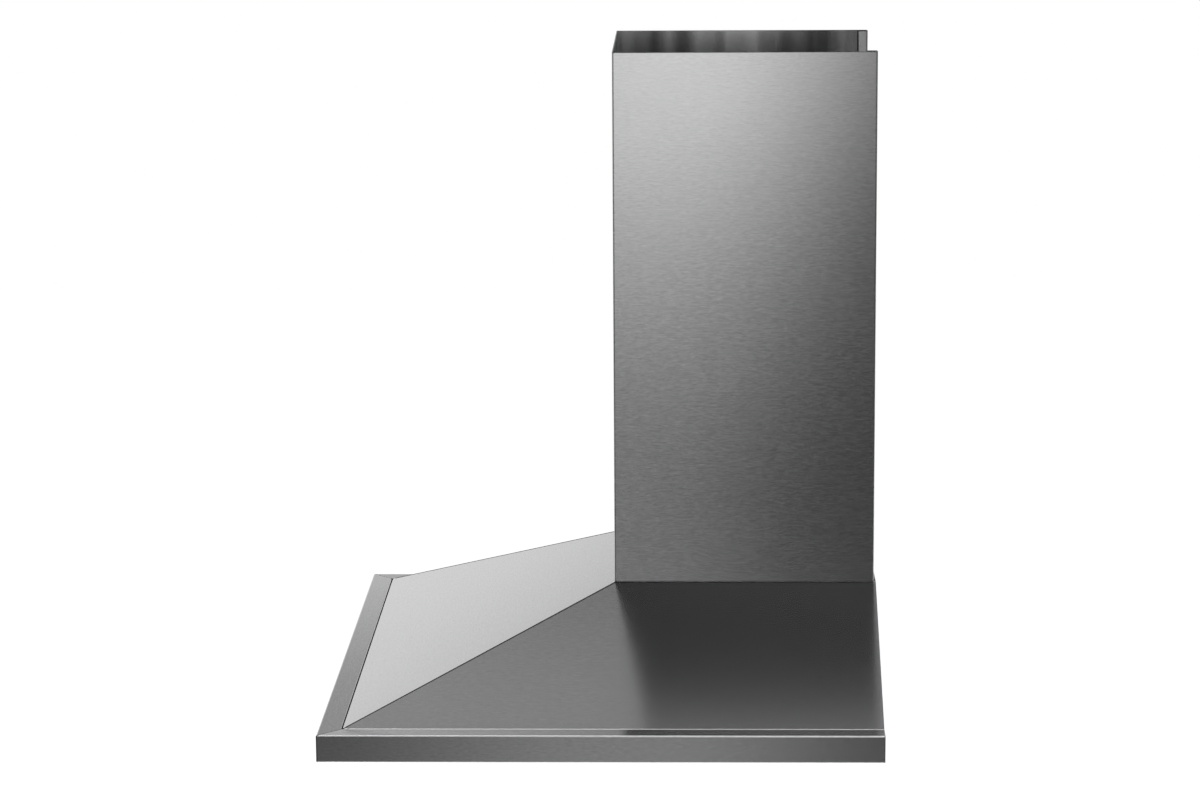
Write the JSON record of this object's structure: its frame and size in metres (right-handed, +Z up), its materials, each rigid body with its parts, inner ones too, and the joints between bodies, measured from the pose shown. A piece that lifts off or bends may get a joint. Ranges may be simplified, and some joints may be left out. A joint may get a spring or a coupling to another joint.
{
  "type": "chimney range hood",
  "caption": "Wall-mounted stainless kitchen hood with a low pyramid canopy, a telescopic chimney, a built-in blower, baffle filters, lamps and push buttons.",
  "frame": {"origin": "middle of the bottom edge of the wall plate, on the wall plane", "axes": "+X to the right of someone facing the wall, +Y into the wall, +Z up"},
  "size_m": [0.6, 0.502, 0.605],
  "materials": {
    "stainless": "brushed along its length",
    "zinc_sheet": "plain zinc-coated sheet",
    "aluminium": "satin",
    "black_plastic": "fine matte",
    "grey_plastic": "moulded",
    "white_plastic": "moulded",
    "lamp_glass": "frosted",
    "circuit_board": "coated",
    "motor_steel": "lacquered",
    "screws": "bright"
  },
  "bodies": {
    "root": {"base_pan": "stainless", "blower_deck": "zinc_sheet", "blower_screws": "screws", "cable_gland": "black_plastic", "canopy_back_panel": "zinc_sheet", "canopy_front_panel": "stainless", "canopy_side_left": "stainless", "canopy_side_right": "stainless", "capacitor_clip": "zinc_sheet", "collar_screws": "screws", "control_board": "circuit_board", "damper_pin": "screws", "deck_screws": "screws", "front_rim": "stainless", "inlet_ring_left": "zinc_sheet", "inlet_ring_right": "zinc_sheet", "junction_box": "white_plastic", "junction_box_lid": "white_plastic", "lamp_bezel_left": "aluminium", "lamp_bezel_right": "aluminium", "lamp_body_left": "aluminium", "lamp_body_right": "aluminium", "lamp_lens_left": "lamp_glass", "lamp_lens_right": "lamp_glass", "led_driver": "white_plastic", "lower_chimney_cover": "stainless", "lower_cover_bracket": "zinc_sheet", "motor_body": "motor_steel", "motor_bracket": "zinc_sheet", "motor_screws": "screws", "outlet_collar": "black_plastic", "outlet_transition": "black_plastic", "run_capacitor": "aluminium", "scroll_side_left": "zinc_sheet", "scroll_side_right": "zinc_sheet", "scroll_wrap": "zinc_sheet", "switch_housing": "black_plastic", "terminal_block": "white_plastic"},
    "upper_cover": {"upper_chimney_cover": "stainless", "upper_cover_strap": "zinc_sheet"},
    "impeller": {"impeller_wheel": "zinc_sheet", "impeller_blades": "zinc_sheet", "impeller_end_rings": "zinc_sheet", "motor_shaft": "motor_steel"},
    "damper_front": {"damper_flap_front": "grey_plastic"},
    "damper_rear": {"damper_flap_rear": "grey_plastic"},
    "filter_left": {"filter_frame_left": "stainless", "filter_baffles_left": "stainless"},
    "latch_left": {"filter_latch_left": "black_plastic"},
    "filter_right": {"filter_frame_right": "stainless", "filter_baffles_right": "stainless"},
    "latch_right": {"filter_latch_right": "black_plastic"},
    "button_1": {"push_button_1": "screws"},
    "button_2": {"push_button_2": "screws"},
    "button_3": {"push_button_3": "screws"},
    "button_4": {"push_button_4": "screws"},
    "button_5": {"push_button_5": "screws"}
  },
  "joints": [
    {"name": "upper_cover_slide", "type": "slide", "parent": "root", "child": "upper_cover", "axis": [0, 0, 1], "range_m": [0, 0.4]},
    {"name": "impeller_spin", "type": "hinge", "parent": "root", "child": "impeller", "pos_m": [0, -0.14, 0.219], "axis": [1, 0, 0], "continuous": true},
    {"name": "damper_front_swing", "type": "hinge", "parent": "root", "child": "damper_front", "pos_m": [0, -0.11, 0.3663], "axis": [-1, 0, 0], "range_deg": [0, 80]},
    {"name": "damper_rear_swing", "type": "hinge", "parent": "root", "child": "damper_rear", "pos_m": [0, -0.11, 0.3663], "axis": [1, 0, 0], "range_deg": [0, 80]},
    {"name": "filter_left_swing", "type": "hinge", "parent": "root", "child": "filter_left", "pos_m": [-0.1328, -0.0635, 0.0095], "axis": [1, 0, 0], "range_deg": [0, 75]},
    {"name": "latch_left_slide", "type": "slide", "parent": "filter_left", "child": "latch_left", "axis": [0, 1, 0], "range_m": [0, 0.005], "stiffness_N_per_m": 300, "springref_m": -0.003},
    {"name": "filter_right_swing", "type": "hinge", "parent": "root", "child": "filter_right", "pos_m": [0.1328, -0.0635, 0.0095], "axis": [1, 0, 0], "range_deg": [0, 75]},
    {"name": "latch_right_slide", "type": "slide", "parent": "filter_right", "child": "latch_right", "axis": [0, 1, 0], "range_m": [0, 0.005], "stiffness_N_per_m": 300, "springref_m": -0.003},
    {"name": "button_1_press", "type": "slide", "parent": "root", "child": "button_1", "axis": [0, 1, 0], "range_m": [0, 0.0015], "stiffness_N_per_m": 400, "springref_m": -0.0005},
    {"name": "button_2_press", "type": "slide", "parent": "root", "child": "button_2", "axis": [0, 1, 0], "range_m": [0, 0.0015], "stiffness_N_per_m": 400, "springref_m": -0.0005},
    {"name": "button_3_press", "type": "slide", "parent": "root", "child": "button_3", "axis": [0, 1, 0], "range_m": [0, 0.0015], "stiffness_N_per_m": 400, "springref_m": -0.0005},
    {"name": "button_4_press", "type": "slide", "parent": "root", "child": "button_4", "axis": [0, 1, 0], "range_m": [0, 0.0015], "stiffness_N_per_m": 400, "springref_m": -0.0005},
    {"name": "button_5_press", "type": "slide", "parent": "root", "child": "button_5", "axis": [0, 1, 0], "range_m": [0, 0.0015], "stiffness_N_per_m": 400, "springref_m": -0.0005}
  ]
}
